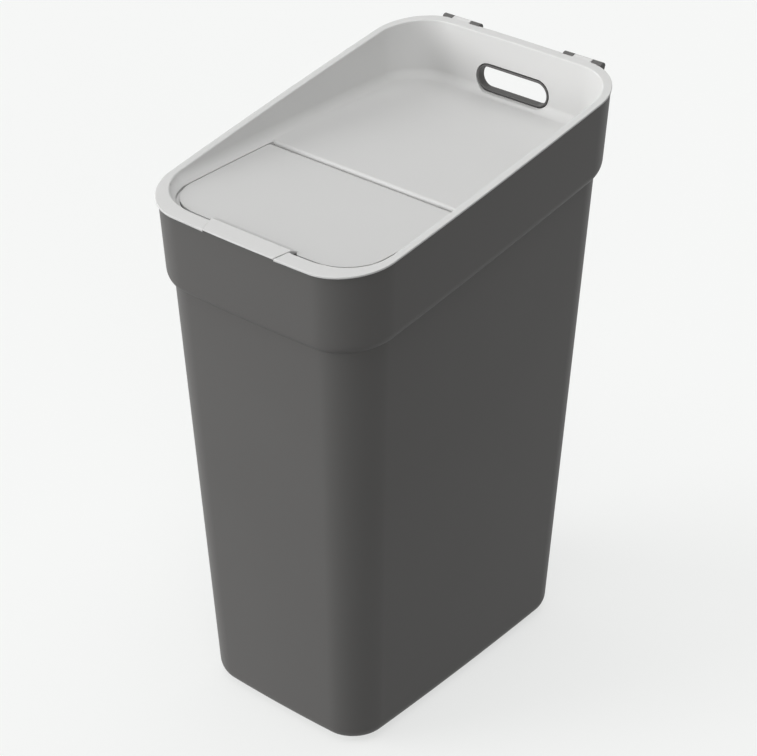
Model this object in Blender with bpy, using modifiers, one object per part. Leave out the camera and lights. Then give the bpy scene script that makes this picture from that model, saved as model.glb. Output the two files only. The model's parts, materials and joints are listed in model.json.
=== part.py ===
"""Slant-topped waste bin: a drafted tub, a hinged lid with a sunken top, and a lift-up flap.

The bin stands on z = 0 with its front towards -Y. Lengths are in metres. The wall is a drafted
rounded rectangle with gently bowed sides, and the rim lies on a plane that rises to the rear.
"""
from math import cos, pi, sin, sqrt

import bmesh
import bpy
from mathutils import Matrix, Vector

# Tub wall: half sizes at the base, how far each side leans out per unit of height, corners, bow
base_half_width = 0.0915
base_half_length = 0.1473
side_draft_share = 0.0448
front_draft_share = 0.0499
rear_draft_share = 0.0464
base_corner_radius = 0.0323
corner_growth_share = 0.0158
least_corner_radius = 0.002
side_bow = 0.0024
end_bow = 0.00255
tub_wall = 0.0022

# Tub base: rounded edge, standing foot and raised panel
base_edge_radius = 0.016
foot_width = 0.009
panel_rise = 0.003

# Rim plane, the top of the lid's flange, which rises to the rear: height at the middle and slope
rim_height = 0.5187
rim_slope_share = 0.154

# Collar: the wall steps out below the rim, parallel to it
collar_height = 0.06865
collar_step = 0.0061
shoulder_height = 0.014

# Lid: flange that lies on the tub's rim, sunken top, and skirt inside the collar
seat_gap = 0.0003
flange_overhang = 0.0007
flange_front_reach = 0.002
flange_thickness = 0.0018
flange_edge_radius = 0.0007
lid_wall = 0.002
lid_side_gap = 0.0022
lid_front_gap = 0.0052
lid_rear_gap = 0.0037
floor_drop = 0.0004
floor_fillet = 0.0085
skirt_depth = 0.008

# Flap: plate in the lid's opening, with a tab that reaches over the front of the rim
flap_side_margin = 0.0082
flap_front_margin = 0.0144
flap_corner_radius = 0.0368
flap_side_bow = 0.0013
flap_front_bow = 0.0025
flap_thickness = 0.0022
flap_gap = 0.0011
rim_lip_width = 0.0018
ledge_width = 0.0033
ledge_thickness = 0.0016
flap_rest_gap = 0.0004
flap_rib_inset = 0.007
flap_rib_width = 0.0016
flap_rib_depth = 0.0035
tab_half_width = 0.0386
tab_thickness = 0.0017
tab_side_gap = 0.0007
tab_rest_gap = 0.0005
tab_ramp_reach = 0.0008
tab_ramp_length = 0.008
tab_relief_depth = 0.0025
tab_relief_width = 0.0055
seat_thickness = 0.0018

# Flap hinge: rolled rear edge, stub pins on the flap and brackets that hang under the shelf
flap_axis_place = 0.033
flap_roll_radius = 0.0065
roll_gap = 0.0012
roll_end_inset = 0.0004
nose_radius = 0.003
nose_depth = 0.0085
bracket_margin = 0.0238
bracket_thickness = 0.002
bracket_side_gap = 0.0007
bracket_radius = 0.0038
bracket_depth = 0.013
bracket_length = 0.016
cheek_thickness = 0.002
cheek_length = 0.016
hinge_slot_reach = 0.0025
flap_pin_radius = 0.002
pin_gap = 0.0003

# Lid hinge at the rear: lugs on the tub, knuckles with stub pins on the lid
lid_axis_reach = 0.0044
lid_axis_drop = 0.0029
lug_radius = 0.0037
lug_side_margin = 0.035
lug_width = 0.0105
lug_foot_drop = 0.018
lug_clearance = 0.0005
lug_side_gap = 0.0004
knuckle_width = 0.0188
knuckle_side_gap = 0.0006
fairing_length = 0.002
lid_pin_radius = 0.0018
lid_pin_reach = 0.004

# Carrying slot in the rear wall: a sleeve on the tub, and the lid's slot round it
slot_drop = 0.0408
sleeve_half_length = 0.0394
sleeve_half_height = 0.0125
sleeve_wall = 0.0021
sleeve_reach = 0.0003
sleeve_gap = 0.0009

# One overrun for all cuts, one overlap for all joined bodies, and the steps of the round forms
overrun = 0.03
overlap = 0.0005
corner_steps = 8
side_steps = 6
round_steps = 24
settle_rounds = 5



def rim_at(place):
    """Height of the rim plane at a place along Y."""
    return rim_height + rim_slope_share * place


def end_face(draft_share, height, across, out):
    """Distance of the front or rear wall from the middle, at a height and a place across."""
    half_width = base_half_width + side_draft_share * height + out
    bow = end_bow * (1 - (across / half_width) ** 2)
    return base_half_length + draft_share * height + out + bow


# Where the flange's front and rear edges stand, without their bow
flange_out = collar_step + flange_overhang
flange_setbacks = (-flange_front_reach, 0.0)
front_rim_place = -((base_half_length + front_draft_share * rim_height + flange_out + flange_front_reach)
                    / (1 + front_draft_share * rim_slope_share))
rear_rim_place = ((base_half_length + rear_draft_share * rim_height + flange_out)
                  / (1 - rear_draft_share * rim_slope_share))

# Sizes that follow from the ones above
foot_inset = base_edge_radius + foot_width
lid_out = collar_step - tub_wall - lid_side_gap
lid_in = lid_out - lid_wall
lid_setbacks = (lid_front_gap - lid_side_gap, lid_rear_gap - lid_side_gap)
floor_height = rim_at(front_rim_place) - floor_drop
shelf_underside = floor_height - lid_wall
skirt_foot = floor_height - skirt_depth
flap_half_width = base_half_width + side_draft_share * floor_height + lid_in - flap_side_margin
flap_front = -front_rim_place - flap_front_margin
flap_underside = floor_height - flap_thickness
ledge_top = flap_underside - flap_rest_gap
ledge_foot = ledge_top - ledge_thickness
flap_axis_height = floor_height - flap_roll_radius
shelf_front = flap_roll_radius + roll_gap - flap_axis_place
tab_ramp_top = flap_front + tab_ramp_reach
tab_ramp_foot = tab_ramp_top - tab_ramp_length
tab_notch_half_width = tab_half_width + tab_side_gap
seat_drop = tab_thickness + tab_rest_gap
hinge_slot_half_width = bracket_thickness / 2 + bracket_side_gap
bracket_place = flap_half_width - bracket_margin
lid_axis_place = rear_rim_place + lid_axis_reach
lid_axis_height = rim_at(lid_axis_place) - lid_axis_drop
slot_height = rim_at(rear_rim_place) - slot_drop
rear_half_width = base_half_width + side_draft_share * lid_axis_height + collar_step
outer_lug_edge = rear_half_width - lug_side_margin - lug_width
knuckle_outer_edge = outer_lug_edge - knuckle_side_gap
knuckle_inner_edge = knuckle_outer_edge - knuckle_width
lug_inner_edge = knuckle_inner_edge - knuckle_side_gap - lug_width
lug_places = (lug_inner_edge + lug_width / 2, outer_lug_edge + lug_width / 2)
lid_axis = Vector((0, lid_axis_place, lid_axis_height))
flap_axis = Vector((0, -flap_axis_place, flap_axis_height))
sky = lid_axis_height + overrun
quarters = ((1, 1), (-1, 1), (-1, -1), (1, -1))
quarter_turns = [step / (round_steps // 4) * pi / 2 for step in range(round_steps // 4 + 1)]


def clear_scene():
    """Empty the scene, so that the model starts from nothing."""
    for thing in list(bpy.data.objects):
        bpy.data.objects.remove(thing, do_unlink=True)


def make_collection(name):
    """Add a collection to the scene."""
    collection = bpy.data.collections.new(name)
    bpy.context.scene.collection.children.link(collection)
    return collection


def plastic(name, colour, roughness):
    """Moulded plastic in one colour."""
    material = bpy.data.materials.new(name)
    material.use_nodes = True
    shader = material.node_tree.nodes["Principled BSDF"]
    shader.inputs["Base Color"].default_value = (*colour, 1)
    shader.inputs["Roughness"].default_value = roughness
    shader.inputs["Metallic"].default_value = 0
    return material


def mesh_object(name, shape, collection, origin=Vector()):
    """Turn a bmesh into an object whose origin lies at a given point, and free the bmesh."""
    bmesh.ops.recalc_face_normals(shape, faces=shape.faces)
    bmesh.ops.translate(shape, verts=shape.verts, vec=-origin)
    mesh = bpy.data.meshes.new(name)
    shape.to_mesh(mesh)
    shape.free()
    thing = bpy.data.objects.new(name, mesh)
    thing.location = origin
    collection.objects.link(thing)
    return thing


def tool(name, shape):
    """A helper body, which joins or cuts a part and is not part of the bin itself."""
    thing = mesh_object(name, shape, helpers)
    thing.parent = stand
    thing.hide_render = True
    thing.display_type = "WIRE"
    return thing


def change(thing, helper, operation):
    """Join, cut or intersect a body with a helper by a Boolean modifier."""
    modifier = thing.modifiers.new(helper.name, "BOOLEAN")
    modifier.operation = operation
    modifier.object = helper
    modifier.solver = "EXACT"


def join(thing, helper):
    """Add a helper's volume to a body."""
    change(thing, helper, "UNION")


def cut(thing, helper):
    """Take a helper's volume out of a body."""
    change(thing, helper, "DIFFERENCE")


def keep(thing, helper):
    """Keep only the part of a body that lies inside a helper."""
    change(thing, helper, "INTERSECT")


def wall_stations():
    """Stations round the wall: shares of the way to a corner's centre, and the turn there."""
    stations = []
    for quarter, here in enumerate(quarters):
        there = quarters[(quarter + 1) % len(quarters)]
        for step in range(corner_steps + 1):
            stations.append((here[0], here[1], (quarter + step / corner_steps) * pi / 2))
        for step in range(1, side_steps):
            share = step / side_steps
            across = here[0] + share * (there[0] - here[0])
            along = here[1] + share * (there[1] - here[1])
            stations.append((across, along, (quarter + 1) * pi / 2))
    return stations


def wall_ring(level, out=0.0, tilt_share=0.0, setbacks=(0.0, 0.0)):
    """The wall's outline, moved out, on the plane z = level + tilt * y, with its ends set back."""
    ring = []
    for across, along, turn in wall_stations():
        height = level
        for _ in range(settle_rounds):
            half_width = base_half_width + side_draft_share * height + out
            front = base_half_length + front_draft_share * height + out - setbacks[0]
            rear = base_half_length + rear_draft_share * height + out - setbacks[1]
            radius = max(base_corner_radius + corner_growth_share * height + out, least_corner_radius)
            half_length = (rear + front) / 2
            x = across * (half_width - radius) + radius * cos(turn)
            y = along * (half_length - radius) + radius * sin(turn)
            bow_x = side_bow * (1 - (y / half_length) ** 2) * cos(turn) * abs(cos(turn))
            bow_y = end_bow * (1 - (x / half_width) ** 2) * sin(turn) * abs(sin(turn))
            x += bow_x
            y += bow_y + (rear - front) / 2
            height = level + tilt_share * y
        ring.append(Vector((x, y, height)))
    return ring


def middle_place():
    """Place along Y of the middle between the flange's front edge and the rear of the lugs."""
    edge = wall_ring(rim_height - flange_edge_radius, flange_out, rim_slope_share, flange_setbacks)
    return (min(point.y for point in edge) + lid_axis_place + lug_radius) / 2


def loft(rings, capped=True):
    """Skin a row of rings, from the lowest to the highest, with a cap below and perhaps above."""
    shape = bmesh.new()
    rows = [[shape.verts.new(point) for point in ring] for ring in rings]
    for low, high in zip(rows, rows[1:]):
        for i in range(len(low)):
            j = (i + 1) % len(low)
            shape.faces.new((low[i], low[j], high[j], high[i]))
    shape.faces.new(reversed(rows[0]))
    if capped:
        shape.faces.new(rows[-1])
    return shape


def band(outer, inner, low, high):
    """An upright wall between two outlines with the same number of points."""
    shape = bmesh.new()
    edges = ((outer, low), (outer, high), (inner, high), (inner, low))
    loops = [[shape.verts.new((point[0], point[1], z)) for point in line] for line, z in edges]
    for here, there in zip(loops, loops[1:] + loops[:1]):
        for i in range(len(here)):
            j = (i + 1) % len(here)
            shape.faces.new((here[i], here[j], there[j], there[i]))
    return shape


def prism(outline, start, end, direction="Z"):
    """Extrude a flat outline of (x, y) points along Z, (y, z) along X or (x, z) along Y."""
    shape = bmesh.new()
    if direction == "X":
        verts = [shape.verts.new((start, a, b)) for a, b in outline]
        move = Vector((end - start, 0, 0))
    elif direction == "Y":
        verts = [shape.verts.new((a, start, b)) for a, b in outline]
        move = Vector((0, end - start, 0))
    else:
        verts = [shape.verts.new((a, b, start)) for a, b in outline]
        move = Vector((0, 0, end - start))
    face = shape.faces.new(verts)
    grown = bmesh.ops.extrude_face_region(shape, geom=[face])
    moved = [vert for vert in grown["geom"] if isinstance(vert, bmesh.types.BMVert)]
    bmesh.ops.translate(shape, verts=moved, vec=move)
    return shape


def box(low, high):
    """An upright box between two corners."""
    shape = bmesh.new()
    size = Vector(high) - Vector(low)
    middle = (Vector(high) + Vector(low)) / 2
    bmesh.ops.create_cube(shape, size=1, matrix=Matrix.Translation(middle) @ Matrix.Diagonal((*size, 1)))
    return shape


def rim_block(half_width, near, far, low, high):
    """A block whose top and bottom are parallel to the rim plane, at heights above it."""
    section = [(near, rim_at(near) + low), (far, rim_at(far) + low),
               (far, rim_at(far) + high), (near, rim_at(near) + high)]
    return prism(section, -half_width, half_width, "X")


def above_rim(drop):
    """All the space above a plane that lies a given drop below the rim plane."""
    reach = lid_axis_place + overrun
    return rim_block(reach, -reach, reach, -drop, reach)


def arc(centre, radius, start, end, steps):
    """Points along a circular arc; the angles are in degrees from the first axis."""
    turns = [(start + (end - start) * step / steps) * pi / 180 for step in range(steps + 1)]
    return [(centre[0] + radius * cos(turn), centre[1] + radius * sin(turn)) for turn in turns]


def rod(axis, radius, start, end):
    """A round rod along X, centred on an axis."""
    outline = arc(axis.yz, radius, 0, 360 - 360 / round_steps, round_steps - 1)
    return prism(outline, start, end, "X")


def both_sides(start, end):
    """The same stretch across on the right and on the left of the bin."""
    return ((start, end), (-end, -start))


def obround(half_length, half_height):
    """A slot outline in (x, z), centred on the carrying slot."""
    straight = half_length - half_height
    right = arc((straight, slot_height), half_height, -90, 90, round_steps // 2)
    left = arc((-straight, slot_height), half_height, 90, 270, round_steps // 2)
    return right + left


def flap_outline(out, rear):
    """The flap's plan outline, moved out, with a straight rear edge at y = rear."""
    radius = flap_corner_radius + out
    half_width = flap_half_width + out
    front = flap_front + out
    corner = radius - front
    length = -flap_axis_place - corner

    def side_point(place, side):
        ahead = max(-flap_axis_place - place, 0)
        return (side * (half_width - flap_side_bow * (ahead / length) ** 2), place)

    def front_point(x, y, share):
        return (x, y - flap_front_bow * share * (1 - (x / half_width) ** 2))

    places = [rear + (corner - rear) * step / side_steps for step in range(side_steps)]
    centre = half_width - flap_side_bow - radius
    left = [side_point(place, -1) for place in places]
    right = [side_point(place, 1) for place in reversed(places)]
    front_left = [front_point(x, y, ((y - corner) / radius) ** 2)
                  for x, y in arc((-centre, corner), radius, 180, 270, corner_steps)]
    front_right = [front_point(x, y, ((y - corner) / radius) ** 2)
                   for x, y in arc((centre, corner), radius, 270, 360, corner_steps)]
    middle = [front_point(centre * (2 * step / side_steps - 1), -front, 1)
              for step in range(1, side_steps)]
    return left + front_left + middle + front_right + right


def tub_skin():
    """Rings of the tub's outer surface, from the raised base panel up past the rim."""
    rings = [wall_ring(panel_rise, -foot_inset - panel_rise), wall_ring(0.0, -foot_inset)]
    for turn in quarter_turns:
        rings.append(wall_ring(base_edge_radius * (1 - cos(turn)), -base_edge_radius * (1 - sin(turn))))
    for turn in quarter_turns:
        level = rim_height - collar_height + shoulder_height * (1 - cos(turn))
        rings.append(wall_ring(level, collar_step * sin(turn), rim_slope_share))
    rings.append(wall_ring(rim_height + tub_wall, collar_step, rim_slope_share))
    return rings


def lug_section(across):
    """A hinge lug seen from the side: an eye whose foot runs down the outside of the collar."""
    foot = lid_axis_height - lug_foot_drop
    high_root = end_face(rear_draft_share, lid_axis_height, across, collar_step) - tub_wall / 2
    low_root = end_face(rear_draft_share, foot, across, collar_step) - tub_wall / 2
    eye = arc(lid_axis.yz, lug_radius, 0, 180, round_steps // 2)
    return eye + [(high_root, lid_axis_height), (low_root, foot), (low_root + tub_wall, foot)]


def make_tub():
    """The tub: drafted walls, stepped collar, base, hinge lugs and carrying sleeve."""
    tub = mesh_object("tub", loft(tub_skin(), capped=False), parts)
    shell = tub.modifiers.new("wall", "SOLIDIFY")
    shell.thickness = tub_wall
    shell.offset = -1
    shell.use_even_offset = True
    cut(tub, tool("tub_rim_cut", above_rim(flange_thickness + seat_gap)))
    for place in lug_places:
        for start, end in both_sides(place - lug_width / 2, place + lug_width / 2):
            join(tub, tool("lug", prism(lug_section(place), start, end, "X")))
    for start, end in both_sides(lug_inner_edge + lug_width, outer_lug_edge):
        low = (start, lid_axis_place - lug_radius - tub_wall, lid_axis_height - lug_radius - knuckle_side_gap)
        high = (end, lid_axis_place + lug_radius, sky)
        cut(tub, tool("knuckle_notch", box(low, high)))
    bore_reach = lid_pin_reach + knuckle_side_gap
    for start, end in both_sides(knuckle_inner_edge - bore_reach, knuckle_outer_edge + bore_reach):
        cut(tub, tool("lug_bore", rod(lid_axis, lid_pin_radius + pin_gap, start, end)))
    sleeve_end = end_face(rear_draft_share, slot_height, 0, collar_step) - tub_wall / 2
    outline = obround(sleeve_half_length, sleeve_half_height)
    join(tub, tool("sleeve", prism(outline, sleeve_front(), sleeve_end, "Y")))
    hole = obround(sleeve_half_length - sleeve_wall, sleeve_half_height - sleeve_wall)
    cut(tub, tool("hand_hole", prism(hole, sleeve_front() - overrun, sleeve_end + overrun, "Y")))
    return tub


def sleeve_front():
    """Place along Y of the sleeve's front end, which stands out of the lid's rear wall."""
    return end_face(rear_draft_share, slot_height, 0, lid_in) - lid_setbacks[1] - sleeve_reach


def flange_edge_rings():
    """The flange's outer edge, rounded over at the top."""
    turn = pi / 4
    edge = flange_edge_radius
    levels = (edge, edge * (1 - sin(turn)), 0.0)
    insets = (0.0, edge * (1 - cos(turn)), edge)
    return [wall_ring(rim_height - drop, flange_out - inset, rim_slope_share, flange_setbacks)
            for drop, inset in zip(levels, insets)]


def flange():
    """The flange that lies on the tub's rim, with its rounded edge."""
    foot = wall_ring(rim_height - flange_thickness, flange_out, rim_slope_share, flange_setbacks)
    return loft([foot] + flange_edge_rings())


def basin():
    """The space of the sunken top: a flat floor, a fillet round its foot and drafted walls."""
    rings = []
    for turn in quarter_turns:
        level = floor_height + floor_fillet * (1 - cos(turn))
        rings.append(wall_ring(level, lid_in - floor_fillet * (1 - sin(turn)), setbacks=lid_setbacks))
    rings.append(wall_ring(sky, lid_in, setbacks=lid_setbacks))
    return loft(rings)


def pocket():
    """The space under the shelf, inside the skirt: it leaves the shelf and its fillet one wall."""
    radius = floor_fillet + lid_wall
    rings = [wall_ring(skirt_foot - overrun, lid_in, setbacks=lid_setbacks)]
    for turn in reversed(quarter_turns):
        inset = floor_fillet * (1 - sin(turn))
        rise = radius - sqrt(radius ** 2 - (floor_fillet * sin(turn)) ** 2)
        rings.append(wall_ring(shelf_underside + rise, lid_in - inset, setbacks=lid_setbacks))
    return loft(rings)


def nose_section():
    """The shelf's front edge seen from the side: a rounded nose with a turned-down lip."""
    centre = (shelf_front + nose_radius, floor_height - nose_radius)
    inner = shelf_front + lid_wall
    back = shelf_front + nose_radius + lid_wall
    return arc(centre, nose_radius, 180, 90, round_steps // 3) + [
        (back, floor_height - overlap), (back, shelf_underside), (inner + overlap, shelf_underside),
        (inner, floor_height - nose_depth), (shelf_front, floor_height - nose_depth)]


def bracket_section():
    """A flap bracket seen from the side: an eye on an arm that hangs under the shelf."""
    y, z = flap_axis.yz
    foot = z - bracket_depth
    back = shelf_front + bracket_length
    inner = shelf_front + overlap
    return arc((y, z), bracket_radius, -55, 235, round_steps) + [
        (y + bracket_radius / 2, foot), (back, foot), (back + bracket_depth / 2, shelf_underside + overlap),
        (inner, shelf_underside + overlap), (inner, z - 2 * bracket_radius)]


def knuckle_section():
    """A lid knuckle seen from the side: an eye with a fairing that runs onto the flange."""
    front = lid_axis_place - lug_radius - fairing_length
    return arc(lid_axis.yz, lug_radius, -150, 100, round_steps) + [
        (front, rim_at(front) - overlap), (front, rim_at(front) - flange_thickness)]


def open_lid(lid):
    """Cut the flap's opening, with the ledge that the flap rests on and a seat under its tab."""
    rear = shelf_front + nose_radius
    collar = prism(flap_outline(flap_gap + rim_lip_width, rear), ledge_foot, floor_height - overlap)
    join(lid, tool("opening_lip", collar))
    seat_near = -end_face(front_draft_share, floor_height, tab_notch_half_width, lid_in) + lid_setbacks[0]
    seat = rim_block(tab_notch_half_width + lid_wall, seat_near, -flap_front,
                     -seat_drop - seat_thickness, -flange_thickness / 2)
    join(lid, tool("tab_seat", seat))
    cut(lid, tool("opening", prism(flap_outline(flap_gap, rear), ledge_top, sky)))
    ledge_rear = -flap_axis_place - flap_roll_radius
    inner = flap_outline(flap_gap - ledge_width, ledge_rear)
    cut(lid, tool("ledge_cut", prism(inner, skirt_foot - overrun, ledge_top + overlap)))
    half_width = flap_half_width + flap_gap / 2
    cut(lid, tool("roll_cut", box((-half_width, ledge_rear - overlap, skirt_foot - overrun),
                                  (half_width, rear, ledge_top + overlap))))
    far = -flap_front - overrun
    cut(lid, tool("tab_notch", rim_block(tab_notch_half_width, far, -flap_front, -seat_drop, overrun)))
    bridge = -end_face(front_draft_share, floor_height, tab_notch_half_width, lid_out) + lid_setbacks[0]
    cut(lid, tool("flange_notch", rim_block(tab_notch_half_width, far, bridge, -overrun, overrun)))


def hang_flap_brackets(lid):
    """Finish the shelf's front edge and hang the two brackets of the flap's hinge under it."""
    reach = flap_half_width + flap_gap + overlap
    join(lid, tool("shelf_nose", prism(nose_section(), -reach, reach, "X")))
    for start, end in both_sides(bracket_place - bracket_thickness / 2, bracket_place + bracket_thickness / 2):
        join(lid, tool("bracket", prism(bracket_section(), start, end, "X")))
        bore = rod(flap_axis, flap_pin_radius + pin_gap, start - overlap, end + overlap)
        cut(lid, tool("bracket_bore", bore))


def hinge_lid(lid):
    """Clear the flange round the tub's lugs, and add the knuckles with their stub pins."""
    for place in lug_places:
        half = lug_width / 2 + lug_side_gap
        for start, end in both_sides(place - half, place + half):
            cut(lid, tool("lug_notch", rod(lid_axis, lug_radius + lug_clearance, start, end)))
    for start, end in both_sides(knuckle_inner_edge, knuckle_outer_edge):
        join(lid, tool("knuckle", prism(knuckle_section(), start, end, "X")))
        pin = rod(lid_axis, lid_pin_radius, start - lid_pin_reach, end + lid_pin_reach)
        join(lid, tool("lid_pin", pin))


def make_lid():
    """The lid: flange, sunken top with its shelf, flap opening, skirt, brackets and knuckles."""
    lid = mesh_object("lid", flange(), parts, lid_axis)
    body = tool("lid_body", loft([wall_ring(skirt_foot, lid_out, setbacks=lid_setbacks),
                                  wall_ring(sky, lid_out, setbacks=lid_setbacks)]))
    cut(body, tool("lid_body_top", above_rim(flange_thickness / 2)))
    join(lid, body)
    cut(lid, tool("basin", basin()))
    space = tool("pocket", pocket())
    cut(space, tool("pocket_top", above_rim(flange_thickness)))
    cut(lid, space)
    open_lid(lid)
    hang_flap_brackets(lid)
    hinge_lid(lid)
    slot = obround(sleeve_half_length + sleeve_gap, sleeve_half_height + sleeve_gap)
    start = sleeve_front() - floor_fillet
    cut(lid, tool("carrying_slot", prism(slot, start, start + overrun, "Y")))
    return lid


def roll_section():
    """The flap's rolled rear edge seen from the side."""
    y, z = flap_axis.yz
    inner = flap_roll_radius - flap_thickness
    outside = arc((y, z), flap_roll_radius, 90, -70, round_steps // 2)
    inside = arc((y, z), inner, -70, 90, round_steps // 2)
    return outside + inside + [(y - overlap, flap_underside), (y - overlap, floor_height)]


def cheek_section():
    """A cheek beside a hinge slot seen from the side: it fills the roll and runs under the plate."""
    y, z = flap_axis.yz
    radius = flap_roll_radius - flap_thickness / 2
    middle = floor_height - flap_thickness / 2
    return arc((y, z), radius, -90, 90, round_steps // 2) + [
        (y - cheek_length, middle), (y - cheek_length, flap_underside - flap_thickness / 2)]


def hinge_slot_section():
    """The slot through the roll that lets a bracket pass, seen from the side."""
    y, z = flap_axis.yz
    start = y + hinge_slot_reach
    under = y - bracket_radius
    return [(start, floor_height + overrun), (y + overrun, floor_height + overrun),
            (y + overrun, z - overrun), (under, z - overrun), (under, z), (start, z)]


def tab_section():
    """The tab seen from the side: it lies in the rim plane, and its root and ramp stand on the plate."""
    far = -flap_front - overrun
    root = -flap_front - flap_front_bow
    middle = floor_height - flap_thickness / 2
    return [(far, rim_at(far) - tab_thickness), (root, rim_at(root) - tab_thickness), (root, middle),
            (overlap - tab_ramp_foot, middle), (-tab_ramp_foot, floor_height),
            (-tab_ramp_top, rim_at(-tab_ramp_top)), (far, rim_at(far))]


def relief_outline(side):
    """The triangular relief beside the root of the tab, in plan."""
    inner = tab_half_width - overlap
    outer = tab_half_width + tab_relief_width
    near = flap_front + flap_front_bow
    return [(side * inner, tab_relief_depth - near), (side * outer, -near), (side * outer, -near - overrun),
            (side * inner, -near - overrun)]


def make_flap():
    """The flap: plate, rolled rear edge with its slots, rib, cheeks, stub pins and tab."""
    plate = prism(flap_outline(0.0, -flap_axis_place), flap_underside, floor_height)
    flap = mesh_object("flap", plate, parts, flap_axis)
    reach = flap_half_width - roll_end_inset
    join(flap, tool("roll", prism(roll_section(), -reach, reach, "X")))
    rib_rear = -flap_axis_place - flap_roll_radius - flap_rib_inset
    rib = band(flap_outline(-flap_rib_inset, rib_rear),
               flap_outline(-flap_rib_inset - flap_rib_width, rib_rear - flap_rib_width),
               flap_underside - flap_rib_depth, flap_underside + flap_thickness / 2)
    join(flap, tool("flap_rib", rib))
    inner = bracket_place - hinge_slot_half_width
    outer = bracket_place + hinge_slot_half_width
    pin_start = bracket_place - bracket_thickness / 2 - pin_gap
    for start, end in both_sides(inner, outer):
        cut(flap, tool("hinge_slot", prism(hinge_slot_section(), start, end, "X")))
    for start, end in both_sides(inner - cheek_thickness, inner) + both_sides(outer, outer + cheek_thickness):
        join(flap, tool("cheek", prism(cheek_section(), start, end, "X")))
    for start, end in both_sides(pin_start, outer + cheek_thickness / 2):
        join(flap, tool("flap_pin", rod(flap_axis, flap_pin_radius, start, end)))
    for side in (1, -1):
        relief = prism(relief_outline(side), flap_underside - overrun, floor_height + overrun)
        cut(flap, tool("tab_relief", relief))
    tab = tool("tab", prism(tab_section(), -tab_half_width, tab_half_width, "X"))
    edge = [wall_ring(rim_height - overrun, flange_out, rim_slope_share, flange_setbacks)] + flange_edge_rings()
    keep(tab, tool("tab_edge", loft(edge)))
    join(flap, tab)
    return flap


def smooth(thing):
    """Shade the rounded surfaces smooth and keep the corners sharp."""
    thing.data.shade_smooth()
    thing.data.set_sharp_from_angle(angle=pi / 6)


def build():
    """Build the bin: the lid is carried by the tub, and the flap by the lid."""
    tub = make_tub()
    lid = make_lid()
    flap = make_flap()
    tub.parent = stand
    lid.parent = stand
    flap.parent = lid
    flap.location = flap_axis - lid_axis
    light_grey = plastic("light_grey_plastic", (0.58, 0.58, 0.56), 0.45)
    tub.data.materials.append(plastic("dark_grey_plastic", (0.09, 0.088, 0.085), 0.5))
    lid.data.materials.append(light_grey)
    flap.data.materials.append(light_grey)
    for thing in (tub, lid, flap):
        smooth(thing)


clear_scene()
parts = make_collection("waste_bin")
helpers = make_collection("cutters")
stand = bpy.data.objects.new("stand", None)
stand.location = (0, -middle_place(), 0)
parts.objects.link(stand)
build()
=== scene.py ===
"""Dresses the slant-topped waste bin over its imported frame.

The three mouldings (tub, lid and flap) are made again with fine curves and softened edges, in two
polypropylenes, and stand on a pale studio floor. Lengths are in metres, the front faces -Y.
"""
import json
import logging
from abc import ABC, abstractmethod
from dataclasses import dataclass
from enum import Enum
from math import copysign, cos, pi, radians, sin, sqrt
from typing import Any, Iterable, Sequence

import bmesh
import bpy
from mathutils import Euler, Matrix, Vector
from mathutils.bvhtree import BVHTree


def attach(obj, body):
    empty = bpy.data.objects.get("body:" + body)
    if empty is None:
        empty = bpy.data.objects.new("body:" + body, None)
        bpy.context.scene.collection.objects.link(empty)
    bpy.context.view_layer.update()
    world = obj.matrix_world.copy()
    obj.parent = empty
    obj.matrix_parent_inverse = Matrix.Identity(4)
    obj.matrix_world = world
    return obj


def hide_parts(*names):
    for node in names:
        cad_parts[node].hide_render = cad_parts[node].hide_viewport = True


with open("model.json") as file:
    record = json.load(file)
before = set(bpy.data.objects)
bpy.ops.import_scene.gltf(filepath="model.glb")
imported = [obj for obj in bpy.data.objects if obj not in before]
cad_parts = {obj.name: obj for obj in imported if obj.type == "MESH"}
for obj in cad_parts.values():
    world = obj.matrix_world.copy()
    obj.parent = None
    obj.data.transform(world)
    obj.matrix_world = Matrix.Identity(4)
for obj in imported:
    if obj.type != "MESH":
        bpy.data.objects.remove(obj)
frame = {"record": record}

log = logging.getLogger("waste_bin")

Solid = bmesh.types.BMesh
Thing = bpy.types.Object
Pair = tuple[float, float]
Ring = list[Vector]
Flat = Sequence[Sequence[float]]
# How far a solid runs past what it cuts, how far joined solids run into each other, how close
# together two places count as one, and how close to a plane a point counts as on it.
OVERRUN = 0.03
OVERLAP = 0.0005
NEAR = 0.00005
PLANE_DISTANCE = 0.000001


class Work(Enum):
    """What a helper solid does to a moulding."""

    JOIN = "UNION"
    CUT = "DIFFERENCE"
    KEEP = "INTERSECT"


class Along(Enum):
    """The direction in which a flat outline is drawn out into a solid."""

    X = 0
    Y = 1
    Z = 2


class Body(Enum):
    """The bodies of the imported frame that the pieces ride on."""

    TUB = "tub"
    LID = "lid"
    FLAP = "flap"


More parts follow.
